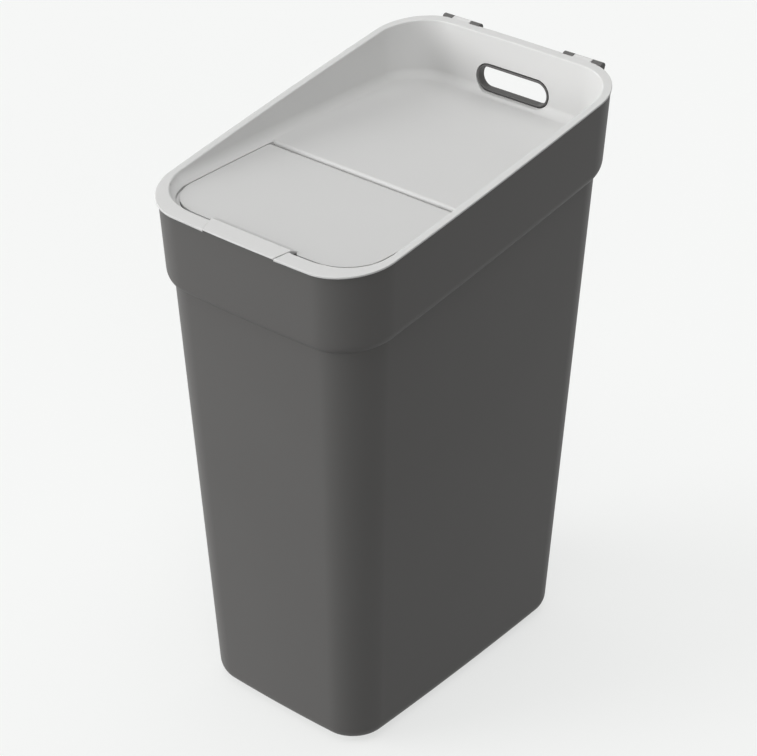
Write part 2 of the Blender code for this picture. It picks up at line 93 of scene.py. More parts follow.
@dataclass(frozen=True)
class Wall:
    """The drafted, rounded and gently bowed outline of the bin, with its slanted rim plane."""

    half_width: float = 0.0915
    half_length: float = 0.1473
    side_draft: float = 0.0448
    front_draft: float = 0.0499
    rear_draft: float = 0.0464
    corner: float = 0.0323
    corner_growth: float = 0.0158
    side_bow: float = 0.0024
    end_bow: float = 0.00255
    rim_height: float = 0.5187
    rim_slope: float = 0.154
    collar_step: float = 0.0061
    least_corner: float = 0.002
    corner_steps: int = 20
    side_steps: int = 14
    tilt_rounds: int = 5

    def rim_at(self, place: float) -> float:
        """Return the height of the rim plane at a place along Y."""
        return self.rim_height + self.rim_slope * place

    def end_face(self, draft: float, height: float, across: float, out: float) -> float:
        """Return how far the front or rear wall, moved out, stands from the middle along Y."""
        wide = self.half_width + self.side_draft * height + out
        return self.half_length + draft * height + out + self.end_bow * (1 - (across / wide) ** 2)

    def stations(self) -> Iterable[tuple[float, float, float]]:
        """Walk round the outline.

        Returns:
            For each point, the shares of the way to a corner's centre, and the turn there.
        """
        corners = ((1, 1), (-1, 1), (-1, -1), (1, -1))
        for quarter, here in enumerate(corners):
            there = corners[(quarter + 1) % 4]
            for step in range(self.corner_steps + 1):
                yield here[0], here[1], (quarter + step / self.corner_steps) * pi / 2
            for step in range(1, self.side_steps):
                share = step / self.side_steps
                yield (here[0] + share * (there[0] - here[0]), here[1] + share * (there[1] - here[1]),
                       (quarter + 1) * pi / 2)

    def ring(self, level: float, out: float = 0.0, tilt: float = 0.0, setbacks: Pair = (0.0, 0.0)) -> Ring:
        """Draw the outline on a level or tilted plane.

        On a tilted plane the height and the outline depend on each other, so each point is found
        in a few rounds.

        Args:
            level: Height of the plane at y = 0.
            out: How far the outline is moved out from the tub's wall.
            tilt: Rise of the plane per unit of Y.
            setbacks: How far the front and rear ends are set back from that.

        Returns:
            The points of the ring, from the rear right corner on.
        """
        ring = []
        for across, along, turn in self.stations():
            height = level
            for _ in range(self.tilt_rounds):
                wide = self.half_width + self.side_draft * height + out
                front = self.half_length + self.front_draft * height + out - setbacks[0]
                rear = self.half_length + self.rear_draft * height + out - setbacks[1]
                radius = max(self.corner + self.corner_growth * height + out, self.least_corner)
                long = (rear + front) / 2
                x = across * (wide - radius) + radius * cos(turn)
                y = along * (long - radius) + radius * sin(turn)
                bow_x = self.side_bow * (1 - (y / long) ** 2) * cos(turn) * abs(cos(turn))
                bow_y = self.end_bow * (1 - (x / wide) ** 2) * sin(turn) * abs(sin(turn))
                x += bow_x
                y += bow_y + (rear - front) / 2
                height = level + tilt * y
            ring.append(Vector((x, y, height)))
        return ring


WALL = Wall()


@dataclass(frozen=True)
class Plan:
    """Sizes that more than one moulding shares, and the places that follow from them.

    Setbacks tell how far the front and the rear of an outline stand back from the tub's wall.
    """

    # Flange and walls
    flange_overhang: float = 0.0007
    flange_setbacks: Pair = (-0.002, 0.0)
    flange_thickness: float = 0.0018
    flange_edge: float = 0.0007
    tub_wall: float = 0.0022
    lid_wall: float = 0.002
    lid_gap: float = 0.0022
    setbacks: Pair = (0.003, 0.0015)
    floor_drop: float = 0.0004
    seat_gap: float = 0.0003
    # Flap, its outline and its hinge
    flap_side_margin: float = 0.0082
    flap_front_margin: float = 0.0144
    flap_corner: float = 0.0368
    flap_taper: float = 0.0013
    flap_bow: float = 0.0025
    flap_thickness: float = 0.0022
    flap_axis_place: float = 0.033
    flap_roll: float = 0.0065
    roll_gap: float = 0.0012
    bracket_margin: float = 0.0238
    bracket_thickness: float = 0.002
    bracket_radius: float = 0.0038
    flap_pin_radius: float = 0.002
    pin_gap: float = 0.0003
    # Tab
    tab_half_width: float = 0.0386
    tab_thickness: float = 0.0017
    tab_gap: float = 0.0004
    tab_flare: float = 0.0045
    tab_lean: float = 0.2
    # Carrying slot
    slot_drop: float = 0.0408
    sleeve_half_length: float = 0.0394
    sleeve_half_height: float = 0.0125
    sleeve_reach: float = 0.0003
    # Lid hinge
    lid_axis_reach: float = 0.0044
    lid_axis_drop: float = 0.0029
    lug_radius: float = 0.0037
    lug_width: float = 0.0105
    lug_side_margin: float = 0.035
    knuckle_width: float = 0.0188
    knuckle_gap: float = 0.0006
    lid_pin_radius: float = 0.0018
    lid_pin_reach: float = 0.004
    # Steps of a full circle, and of the flange's rounded edge
    round_steps: int = 48
    edge_steps: int = 4

    @property
    def flange_out(self) -> float:
        """How far the flange stands out from the tub's wall."""
        return WALL.collar_step + self.flange_overhang

    @property
    def front_rim(self) -> float:
        """Place of the flange's front edge along Y."""
        reach = (WALL.half_length + WALL.front_draft * WALL.rim_height + self.flange_out
                 - self.flange_setbacks[0])
        return -reach / (1 + WALL.front_draft * WALL.rim_slope)

    @property
    def rear_rim(self) -> float:
        """Place of the flange's rear edge along Y."""
        reach = WALL.half_length + WALL.rear_draft * WALL.rim_height + self.flange_out
        return reach / (1 - WALL.rear_draft * WALL.rim_slope)

    @property
    def lid_out(self) -> float:
        """How far the outside of the lid's wall stands out from the tub's wall."""
        return WALL.collar_step - self.tub_wall - self.lid_gap

    @property
    def lid_in(self) -> float:
        """How far the inside of the lid's wall stands out from the tub's wall."""
        return self.lid_out - self.lid_wall

    @property
    def floor(self) -> float:
        """Height of the sunken top's floor, with which the flap is flush."""
        return WALL.rim_at(self.front_rim) - self.floor_drop

    @property
    def flap_half_width(self) -> float:
        """Half the flap's width at its hinge."""
        return WALL.half_width + WALL.side_draft * self.floor + self.lid_in - self.flap_side_margin

    @property
    def flap_front(self) -> float:
        """Distance of the flap's front edge from the middle, without its bow."""
        return -self.front_rim - self.flap_front_margin

    @property
    def flap_under(self) -> float:
        """Height of the flap's underside."""
        return self.floor - self.flap_thickness

    @property
    def flap_axis(self) -> Vector:
        """A point on the flap's hinge axis."""
        return Vector((0, -self.flap_axis_place, self.floor - self.flap_roll))

    @property
    def shelf_front(self) -> float:
        """Place of the shelf's front edge along Y."""
        return self.flap_roll + self.roll_gap - self.flap_axis_place

    @property
    def bracket_place(self) -> float:
        """Distance of the flap's brackets from the middle."""
        return self.flap_half_width - self.bracket_margin

    @property
    def lid_axis(self) -> Vector:
        """A point on the lid's hinge axis."""
        place = self.rear_rim + self.lid_axis_reach
        return Vector((0, place, WALL.rim_at(place) - self.lid_axis_drop))

    @property
    def slot_height(self) -> float:
        """Height of the middle of the carrying slot."""
        return WALL.rim_at(self.rear_rim) - self.slot_drop

    @property
    def outer_lug(self) -> float:
        """Inner edge of the outer lug, across."""
        wide = WALL.half_width + WALL.side_draft * self.lid_axis.z + WALL.collar_step
        return wide - self.lug_side_margin - self.lug_width

    @property
    def knuckle(self) -> Pair:
        """The stretch across that a lid knuckle fills on the right-hand side."""
        outer = self.outer_lug - self.knuckle_gap
        return outer - self.knuckle_width, outer

    @property
    def inner_lug(self) -> float:
        """Inner edge of the inner lug, across."""
        return self.knuckle[0] - self.knuckle_gap - self.lug_width

    @property
    def sleeve_front(self) -> float:
        """Place of the sleeve's front end, which stands out of the lid's rear wall."""
        face = WALL.end_face(WALL.rear_draft, self.slot_height, 0, self.lid_in)
        return face - self.setbacks[1] - self.sleeve_reach


PLAN = Plan()


def turns(count: int = PLAN.round_steps // 4) -> list[float]:
    """Return the angles from 0 to a quarter turn, both ends counted."""
    return [step / count * pi / 2 for step in range(count + 1)]


def arc(centre: Sequence[float], radius: float, start: float, end: float, steps: int) -> list[Pair]:
    """Draw a circular arc between two angles, in degrees from the first axis."""
    angles = [radians(start + (end - start) * step / steps) for step in range(steps + 1)]
    return [(centre[0] + radius * cos(angle), centre[1] + radius * sin(angle)) for angle in angles]


def sides(start: float, end: float) -> tuple[Pair, Pair]:
    """Return the same stretch across on the right and on the left of the bin."""
    return (start, end), (-end, -start)


def belt(shape: Solid, low: list[bmesh.types.BMVert], high: list[bmesh.types.BMVert]) -> None:
    """Add four-sided faces all round between two closed rows with as many points."""
    for corners in zip(low, low[1:] + low[:1], high[1:] + high[:1], high):
        shape.faces.new(corners)


def loft(rings: Sequence[Flat], capped: bool = True) -> Solid:
    """Skin a row of rings from the lowest to the highest.

    Args:
        rings: Rings with the same number of points (x, y, z).
        capped: Whether the highest ring is closed too.

    Returns:
        The skin.
    """
    shape = bmesh.new()
    rows = [[shape.verts.new(point) for point in ring] for ring in rings]
    for low, high in zip(rows, rows[1:]):
        belt(shape, low, high)
    shape.faces.new(reversed(rows[0]))
    if capped:
        shape.faces.new(rows[-1])
    return shape


def prism(outline: Flat, start: float, end: float, along: Along = Along.X) -> Solid:
    """Draw an outline of points (y, z), (x, z) or (x, y) out along X, Y or Z, from start to end."""
    axis = along.value
    return loft([[(*point[:axis], place, *point[axis:]) for point in outline] for place in (start, end)])


def band(outer: Flat, inner: Flat, low: float, high: float) -> Solid:
    """Build an upright wall between two outlines with the same number of points.

    Args:
        outer: Outer outline in plan.
        inner: Inner outline in plan.
        low: Height of the foot.
        high: Height of the top.

    Returns:
        The wall.
    """
    shape = bmesh.new()
    edges = ((outer, low), (outer, high), (inner, high), (inner, low))
    loops = [[shape.verts.new((point[0], point[1], z)) for point in line] for line, z in edges]
    for here, there in zip(loops, loops[1:] + loops[:1]):
        belt(shape, here, there)
    return shape


def block(low: Sequence[float], high: Sequence[float]) -> Solid:
    """Build an upright block between two corners."""
    section = [(low[1], low[2]), (high[1], low[2]), (high[1], high[2]), (low[1], high[2])]
    return prism(section, low[0], high[0])


def rim_block(half_width: float, near: float, far: float, low: float, high: float) -> Solid:
    """Build a block along the rim plane, from near to far along Y and from low to high above it."""
    section = [(near, WALL.rim_at(near) + low), (far, WALL.rim_at(far) + low),
               (far, WALL.rim_at(far) + high), (near, WALL.rim_at(near) + high)]
    return prism(section, -half_width, half_width)


def flared(solid: Solid) -> Solid:
    """Widen a solid from the tab's tip to its root, and go on at that rate.

    Args:
        solid: The solid, which is changed.

    Returns:
        The same solid.
    """
    for vert in solid.verts:
        share = 1 + (vert.co.y + PLAN.flap_front) / PLAN.flap_front_margin
        vert.co.x += PLAN.tab_flare * share * copysign(1, vert.co.x)
    return solid


def above_rim(drop: float) -> Solid:
    """Build a block that fills the space above a plane a given drop below the rim."""
    reach = PLAN.lid_axis.y + OVERRUN
    return rim_block(reach, -reach, reach, -drop, reach)


def rod(axis: Vector, radius: float, start: float, end: float) -> Solid:
    """Build a round rod along X, centred on an axis."""
    count = PLAN.round_steps
    return prism(arc(axis.yz, radius, 0, 360 - 360 / count, count - 1), start, end)


def obround(half_length: float, half_height: float) -> list[Pair]:
    """Draw an outline in (x, z) with round ends, at the height of the carrying slot."""
    ends = ((half_length - half_height, -90), (half_height - half_length, 90))
    return [point for across, turn in ends for point in
            arc((across, PLAN.slot_height), half_height, turn, turn + 180, PLAN.round_steps // 2)]


def part_by_plane(solid: Solid, point: Sequence[float], normal: Sequence[float], clear: bool = False) -> None:
    """Cut all faces along a plane and, if asked, clear the side that its normal points to."""
    parts = list(solid.verts) + list(solid.edges) + list(solid.faces)
    bmesh.ops.bisect_plane(solid, geom=parts, dist=PLANE_DISTANCE, plane_co=point, plane_no=normal,
                           clear_outer=clear)


def add_object(name: str, data: bpy.types.ID) -> Thing:
    """Add an object to the scene.

    Args:
        name: Its name.
        data: Its mesh, light or camera.

    Returns:
        The object.
    """
    thing = bpy.data.objects.new(name, data)
    bpy.context.scene.collection.objects.link(thing)
    return thing


def make_object(name: str, solid: Solid) -> Thing:
    """Turn a solid into an object, and free the solid.

    Args:
        name: The object's name.
        solid: The solid.

    Returns:
        The object.
    """
    bmesh.ops.recalc_face_normals(solid, faces=solid.faces)
    mesh = bpy.data.meshes.new(name)
    solid.to_mesh(mesh)
    solid.free()
    return add_object(name, mesh)


def combine(thing: Thing, helper: Thing, work: Work) -> None:
    """Add a modifier that joins, cuts or trims a thing with a helper.

    Args:
        thing: The object that is changed.
        helper: The object that changes it.
        work: What the helper does.
    """
    modifier = thing.modifiers.new(work.name.lower(), "BOOLEAN")
    modifier.operation = work.value
    modifier.solver = "MANIFOLD"
    modifier.object = helper


def evaluated(thing: Thing) -> bpy.types.Mesh:
    """Carry out all modifiers of a thing.

    Args:
        thing: The object, which stays as it is.

    Returns:
        The new mesh.
    """
    bpy.context.view_layer.update()
    graph = bpy.context.evaluated_depsgraph_get()
    return bpy.data.meshes.new_from_object(thing.evaluated_get(graph))


def frame_shift() -> float:
    """Return how far the frame's origin lies behind the middle of the outline."""
    joints = frame["record"]["behaviour"]["joints"]
    return PLAN.lid_axis.y - next(joint["pos_m"][1] for joint in joints if joint["name"] == "lid_hinge")


class Moulding(ABC):
    """One injection moulding of the bin, made as a solid with softened edges.

    Distances are in metres and turns in degrees.
    """

    name: str
    body: Body
    slot: str
    # Points this close are merged. Faces are parted on these planes (point, normal), so that none
    # runs round an opening.
    merge_distance = 0.00002
    seams = (((0, 0, 0), (1, 0, 0)), ((0, -0.09, 0), (0, 1, 0)))
    # Edges that turn by an angle between these are rounded.
    rounded_turns = (28, 125)
    rounding_steps = 3
    widest_rounding = 0.002
    # A point that its rounding moves further than this is put back on the sharp solid.
    stray_distance = 0.0005
    # Edges that still turn by more than this are shaded as sharp.
    sharp_turn = 40

    def __init__(self, material: bpy.types.Material) -> None:
        """Make the moulding, put it on its body and dress it.

        Args:
            material: The finish that it is moulded in.
        """
        self._helpers: list[Thing] = []
        self.thing = make_object(self.name, self.blank())
        self.shape()
        self._settle()
        self.thing.data.materials.clear()
        self.thing.data.materials.append(material)
        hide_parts(self.body.value)
        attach(self.thing, self.body.value)

    @abstractmethod
    def blank(self) -> Solid:
        """Return the first solid, which all others join or cut."""

    @abstractmethod
    def shape(self) -> None:
        """Join and cut everything else."""

    @abstractmethod
    def softness(self, edge: bmesh.types.BMEdge) -> float:
        """Return the width of the rounding on a sharp edge."""

    def _work(self, work: Work, solid: Solid) -> None:
        """Combine the moulding with a helper solid."""
        self._helpers.append(make_object(self.name + "_helper", solid))
        combine(self.thing, self._helpers[-1], work)

    def join(self, solid: Solid) -> None:
        """Join a solid to the moulding."""
        self._work(Work.JOIN, solid)

    def cut(self, solid: Solid) -> None:
        """Cut a solid out of the moulding."""
        self._work(Work.CUT, solid)

    def _settle(self) -> None:
        """Carry out the modifiers, clean the mesh and move it onto the frame."""
        mesh = evaluated(self.thing)
        for helper in self._helpers:
            bpy.data.objects.remove(helper, do_unlink=True)
        self.thing.modifiers.clear()
        self.thing.data = mesh
        solid = bmesh.new()
        solid.from_mesh(mesh)
        bmesh.ops.remove_doubles(solid, verts=solid.verts, dist=self.merge_distance)
        for place, normal in self.seams:
            part_by_plane(solid, place, normal)
        weights = solid.edges.layers.float.new("bevel_weight_edge")
        least, most = (radians(turn) for turn in self.rounded_turns)
        for edge in solid.edges:
            if len(edge.link_faces) == 2 and least < edge.calc_face_angle(0) < most:
                edge[weights] = self.softness(edge) / self.widest_rounding
        bmesh.ops.translate(solid, verts=solid.verts, vec=(0, -frame_shift(), 0))
        plain = BVHTree.FromBMesh(solid)
        solid.to_mesh(mesh)
        solid.free()
        self._round(plain)

    def _round(self, plain: BVHTree) -> None:
        """Round the weighted edges and set the shading.

        Args:
            plain: The sharp solid, onto which points that stray are put back.
        """
        bevel = self.thing.modifiers.new("soft edges", "BEVEL")
        bevel.limit_method = "WEIGHT"
        bevel.width = self.widest_rounding
        bevel.segments = self.rounding_steps
        bevel.use_clamp_overlap = False
        bevel.miter_outer = "MITER_ARC"
        rounded = evaluated(self.thing)
        self.thing.modifiers.clear()
        self.thing.data = rounded
        for vert in rounded.vertices:
            place, _, _, distance = plain.find_nearest(vert.co)
            if distance > self.stray_distance:
                vert.co = place
        rounded.shade_smooth()
        rounded.set_sharp_from_angle(angle=radians(self.sharp_turn))
        even = self.thing.modifiers.new("flat faces stay flat", "WEIGHTED_NORMAL")
        even.keep_sharp = True
        even.weight = 100
        log.info("%s: %d faces", self.name, len(rounded.polygons))


class Tub(Moulding):
    """The tub: drafted walls, stepped collar, base, hinge lugs and the sleeve of the carrying slot."""

    name = "tub_moulding"
    body = Body.TUB
    slot = "dark_grey_plastic"
    base_edge = 0.016
    foot_width = 0.009
    panel_rise = 0.003
    collar_height = 0.0757
    shoulder = 0.0095
    sleeve_wall = 0.0021
    lug_foot = 0.018
    mouth_softness = 0.0008
    edge_softness = 0.0004

    def blank(self) -> Solid:
        """Skin the outside, from the raised base panel up past the rim.

        Returns:
            The skin, open at the top.
        """
        inset = self.base_edge + self.foot_width
        rings = [WALL.ring(self.panel_rise, -inset - self.panel_rise), WALL.ring(0.0, -inset)]
        for turn in turns():
            rings.append(WALL.ring(self.base_edge * (1 - cos(turn)), -self.base_edge * (1 - sin(turn))))
        for turn in turns():
            level = WALL.rim_height - self.collar_height + self.shoulder * (1 - cos(turn))
            rings.append(WALL.ring(level, WALL.collar_step * sin(turn), WALL.rim_slope))
        rings.append(WALL.ring(WALL.rim_height + PLAN.tub_wall, WALL.collar_step, WALL.rim_slope))
        return loft(rings, capped=False)

    def shape(self) -> None:
        """Give the skin its wall, then add the lugs and the sleeve."""
        wall = self.thing.modifiers.new("wall", "SOLIDIFY")
        wall.thickness = PLAN.tub_wall
        wall.offset = -1
        wall.use_even_offset = True
        self.cut(above_rim(PLAN.flange_thickness + PLAN.seat_gap))
        axis = PLAN.lid_axis
        for place in (PLAN.inner_lug, PLAN.outer_lug):
            for start, end in sides(place, place + PLAN.lug_width):
                self.join(prism(self.lug(place + PLAN.lug_width / 2), start, end))
        for start, end in sides(PLAN.inner_lug + PLAN.lug_width, PLAN.outer_lug):
            near, foot = axis.y - PLAN.lug_radius - PLAN.tub_wall, axis.z - PLAN.lug_radius - PLAN.knuckle_gap
            self.cut(block((start, near, foot), (end, axis.y + PLAN.lug_radius, axis.z + OVERRUN)))
        reach = PLAN.lid_pin_reach + PLAN.knuckle_gap
        for start, end in sides(PLAN.knuckle[0] - reach, PLAN.knuckle[1] + reach):
            self.cut(rod(axis, PLAN.lid_pin_radius + PLAN.pin_gap, start, end))
        far = self.collar_middle(PLAN.slot_height, 0)
        outline = obround(PLAN.sleeve_half_length, PLAN.sleeve_half_height)
        self.join(prism(outline, PLAN.sleeve_front, far, Along.Y))
        hole = obround(PLAN.sleeve_half_length - self.sleeve_wall, PLAN.sleeve_half_height - self.sleeve_wall)
        self.cut(prism(hole, PLAN.sleeve_front - OVERRUN, far + OVERRUN, Along.Y))

    def collar_middle(self, height: float, across: float) -> float:
        """Return the place along Y of the middle of the collar's rear wall."""
        return WALL.end_face(WALL.rear_draft, height, across, WALL.collar_step) - PLAN.tub_wall / 2

    def lug(self, across: float) -> list[Pair]:
        """Draw a hinge lug from the side: an eye whose foot runs down the outside of the collar.

        Args:
            across: Place of its middle along X.

        Returns:
            The points (y, z).
        """
        axis = PLAN.lid_axis
        foot = axis.z - self.lug_foot
        high = self.collar_middle(axis.z, across)
        low = self.collar_middle(foot, across)
        eye = arc(axis.yz, PLAN.lug_radius, 0, 180, PLAN.round_steps // 2)
        return eye + [(high, axis.z), (low, foot), (low + PLAN.tub_wall, foot)]

    def softness(self, edge: bmesh.types.BMEdge) -> float:
        """Return a fuller rounding for the mouth of the sleeve than for the other edges."""
        middle = (edge.verts[0].co + edge.verts[1].co) / 2
        return self.mouth_softness if abs(middle.y - PLAN.sleeve_front) < NEAR else self.edge_softness


class Lid(Moulding):
    """The lid: flange, sunken top with its shelf, flap opening, skirt, brackets and knuckles."""

    name = "lid_moulding"
    body = Body.LID
    slot = "light_grey_plastic"
    fillet = 0.0085
    skirt = 0.008
    flap_gap = 0.0011
    lip_width = 0.0018
    ledge_width = 0.0033
    ledge_thickness = 0.0016
    ledge_gap = 0.0004
    notch_gap = 0.0005
    seat_thickness = 0.0018
    nose = 0.003
    apron = 0.0085
    hanger_drop = 0.013
    hanger_foot = 0.016
    hanger_top = 0.0225
    hanger_turns = (-55, 235)
    slot_gap = 0.0009
    lug_side_gap = 0.0004
    lug_gap = 0.0005
    knuckle_neck = 0.002
    knuckle_turns = (-150, 100)
    # Widths of the roundings, and the margins of the places where they hold.
    basin_softness = 0.001
    edge_softness = 0.0003
    tab_softness = 0.0002
    tab_side_margin = 0.012
    tab_rear_margin = 0.016
    flange_edge_margin = 0.003
    basin_margins = (0.004, 0.006)

    def blank(self) -> Solid:
        """Return the flange that lies on the tub's rim, with its rounded edge."""
        return loft(rim_edge(PLAN.flange_thickness))

    def shape(self) -> None:
        """Add the sunken body, and open it for the flap, the slot and the hinges."""
        self.join(self.trough())
        self.cut(self.basin())
        self.cut(self.pocket())
        self.open_for_flap()
        self.hang_brackets()
        self.hinge()
        slot = obround(PLAN.sleeve_half_length + self.slot_gap, PLAN.sleeve_half_height + self.slot_gap)
        start = PLAN.sleeve_front - self.fillet
        self.cut(prism(slot, start, start + OVERRUN, Along.Y))

    def _under_rim(self, rings: Sequence[Ring], drop: float) -> Solid:
        """Skin rings and cut the skin off a given drop below the rim plane.

        Args:
            rings: The rings of the skin, the last one high above the rim.
            drop: How far below the rim plane the solid ends.

        Returns:
            The solid, closed on the slanted plane.
        """
        solid = loft(rings)
        slope = Vector((0, -WALL.rim_slope, 1)).normalized()
        point = Vector((0, 0, WALL.rim_height - drop))
        part_by_plane(solid, point, slope, clear=True)
        bmesh.ops.holes_fill(solid, edges=[edge for edge in solid.edges if edge.is_boundary])
        return solid

    def trough(self) -> Solid:
        """Build the outside of the lid's sunken body, up to the flange."""
        rings = [WALL.ring(level, PLAN.lid_out, setbacks=PLAN.setbacks)
                 for level in (PLAN.floor - self.skirt, PLAN.lid_axis.z + OVERRUN)]
        return self._under_rim(rings, PLAN.flange_thickness / 2)

    def basin(self) -> Solid:
        """Build the space of the sunken top: a flat floor, a fillet round its foot and drafted walls.

        Returns:
            The space, up to well above the rim.
        """
        rings = []
        for turn in turns():
            level = PLAN.floor + self.fillet * (1 - cos(turn))
            inset = self.fillet * (1 - sin(turn))
            rings.append(WALL.ring(level, PLAN.lid_in - inset, setbacks=PLAN.setbacks))
        rings.append(WALL.ring(PLAN.lid_axis.z + OVERRUN, PLAN.lid_in, setbacks=PLAN.setbacks))
        return loft(rings)

    def pocket(self) -> Solid:
        """Build the space under the shelf, inside the skirt.

        Returns:
            The space, which reaches up under the fillet.
        """
        radius = self.fillet + PLAN.lid_wall
        rings = [WALL.ring(PLAN.floor - self.skirt - OVERRUN, PLAN.lid_in, setbacks=PLAN.setbacks)]
        for turn in reversed(turns()):
            rise = radius - sqrt(radius ** 2 - (self.fillet * sin(turn)) ** 2)
            rings.append(WALL.ring(PLAN.floor - PLAN.lid_wall + rise,
                                   PLAN.lid_in - self.fillet * (1 - sin(turn)), setbacks=PLAN.setbacks))
        return self._under_rim(rings, PLAN.flange_thickness)

    def open_for_flap(self) -> None:
        """Cut the flap's opening, with the ledge it rests on and a seat under its tab."""
        rear = PLAN.shelf_front + self.nose
        ledge_top = PLAN.flap_under - self.ledge_gap
        ledge_foot = ledge_top - self.ledge_thickness
        under = PLAN.floor - self.skirt - OVERRUN
        lip = flap_outline(self.flap_gap + self.lip_width, rear)
        self.join(prism(lip, ledge_foot, PLAN.floor - OVERLAP, Along.Z))
        notch = PLAN.tab_half_width + PLAN.tab_gap
        drop = PLAN.tab_thickness + self.notch_gap
        near = PLAN.setbacks[0] - WALL.end_face(WALL.front_draft, PLAN.floor, notch, PLAN.lid_in)
        self.join(rim_block(notch + PLAN.tab_flare + PLAN.lid_wall, near, -PLAN.flap_front,
                            -drop - self.seat_thickness, -PLAN.flange_thickness / 2))
        seat = flap_outline(self.flap_gap, rear)
        self.cut(prism(seat, ledge_top, PLAN.lid_axis.z + OVERRUN, Along.Z))
        ledge_rear = -PLAN.flap_axis_place - PLAN.flap_roll
        half = PLAN.flap_half_width + self.flap_gap / 2
        mouth = flap_outline(self.flap_gap - self.ledge_width, ledge_rear)
        self.cut(prism(mouth, under, ledge_top + OVERLAP, Along.Z))
        self.cut(block((-half, ledge_rear - OVERLAP, under), (half, rear, ledge_top + OVERLAP)))
        far = -PLAN.flap_front - OVERRUN
        self.cut(flared(rim_block(notch, far, -PLAN.flap_front, -drop, OVERRUN)))
        bridge = PLAN.setbacks[0] - WALL.end_face(WALL.front_draft, PLAN.floor, notch, PLAN.lid_out)
        self.cut(flared(rim_block(notch, far, bridge, -OVERRUN, OVERRUN)))

    def hang_brackets(self) -> None:
        """Finish the shelf's front edge and hang the two brackets of the flap's hinge under it."""
        front, floor = PLAN.shelf_front, PLAN.floor
        under = floor - PLAN.lid_wall
        inner = front + PLAN.lid_wall
        back = front + self.nose + PLAN.lid_wall
        edge = arc((front + self.nose, floor - self.nose), self.nose, 180, 90, PLAN.round_steps // 3) + [
            (back, floor - OVERLAP), (back, under), (inner + OVERLAP, under), (inner, floor - self.apron),
            (front, floor - self.apron)]
        reach = PLAN.flap_half_width + self.flap_gap + OVERLAP
        self.join(prism(edge, -reach, reach))
        y, z = PLAN.flap_axis.yz
        radius = PLAN.bracket_radius
        foot = z - self.hanger_drop
        hanger = arc((y, z), radius, *self.hanger_turns, PLAN.round_steps) + [
            (y + radius / 2, foot), (front + self.hanger_foot, foot),
            (front + self.hanger_top, under + OVERLAP), (front + OVERLAP, under + OVERLAP),
            (front + OVERLAP, z - 2 * radius)]
        half = PLAN.bracket_thickness / 2
        for start, end in sides(PLAN.bracket_place - half, PLAN.bracket_place + half):
            self.join(prism(hanger, start, end))
            self.cut(rod(PLAN.flap_axis, PLAN.flap_pin_radius + PLAN.pin_gap, start - OVERLAP, end + OVERLAP))

    def hinge(self) -> None:
        """Clear the flange round the tub's lugs, and add the knuckles with their stub pins."""
        axis = PLAN.lid_axis
        for place in (PLAN.inner_lug, PLAN.outer_lug):
            for start, end in sides(place - self.lug_side_gap, place + PLAN.lug_width + self.lug_side_gap):
                self.cut(rod(axis, PLAN.lug_radius + self.lug_gap, start, end))
        front = axis.y - PLAN.lug_radius - self.knuckle_neck
        knuckle = arc(axis.yz, PLAN.lug_radius, *self.knuckle_turns, PLAN.round_steps) + [
            (front, WALL.rim_at(front) - OVERLAP), (front, WALL.rim_at(front) - PLAN.flange_thickness)]
        for start, end in sides(*PLAN.knuckle):
            self.join(prism(knuckle, start, end))
            self.join(rod(axis, PLAN.lid_pin_radius, start - PLAN.lid_pin_reach, end + PLAN.lid_pin_reach))

    def softness(self, edge: bmesh.types.BMEdge) -> float:
        """Round the basin's top edge fully, and the edges round the tab little or not at all.

        Args:
            edge: A sharp edge.

        Returns:
            The width of its rounding.
        """
        middle = (edge.verts[0].co + edge.verts[1].co) / 2
        if abs(middle.x) < PLAN.tab_half_width + self.tab_side_margin:
            if middle.y < PLAN.front_rim + self.flange_edge_margin:
                return 0.0
            if middle.y < -PLAN.flap_front + self.tab_rear_margin:
                return self.tab_softness
        on_rim = all(abs(vert.co.z - WALL.rim_at(vert.co.y)) < NEAR for vert in edge.verts)
        ahead, behind = self.basin_margins
        if on_rim and abs(middle.y - PLAN.front_rim) > ahead and middle.y < PLAN.rear_rim - behind:
            return self.basin_softness
        return self.edge_softness


